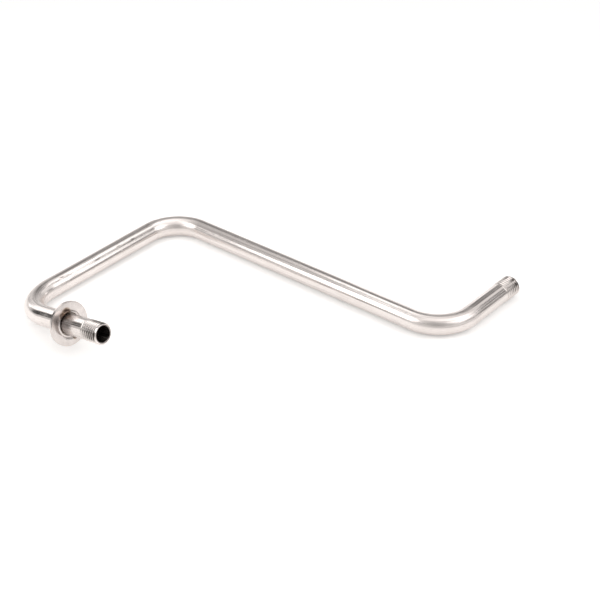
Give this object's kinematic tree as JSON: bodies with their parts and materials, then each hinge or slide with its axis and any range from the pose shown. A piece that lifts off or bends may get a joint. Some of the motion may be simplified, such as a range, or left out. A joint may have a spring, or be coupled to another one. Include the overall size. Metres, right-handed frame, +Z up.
{
  "type": "pressure fryer filter tube",
  "caption": "Bent stainless tube with threaded ends and a welded flange washer near its inlet, carrying hot oil through a fryer's filter circuit.",
  "frame": {"origin": "on the surface that the tube lies on, under the middle of its outline", "axes": "+X along the long leg away from the inlet's bends, +Y along the outlet leg to its open end, +Z up"},
  "size_m": [0.2891, 0.2846, 0.038],
  "materials": {
    "drawn_steel": "satin drawn stainless, polished along the tube",
    "washer_steel": "matt tumbled stainless, heat tinted round its hole",
    "weld_steel": "rippled weld metal with straw and brown heat tint"
  },
  "bodies": {
    "root": {"bent_tube": "drawn_steel", "flange_washer": "washer_steel", "weld_bead": "weld_steel"}
  },
  "joints": []
}
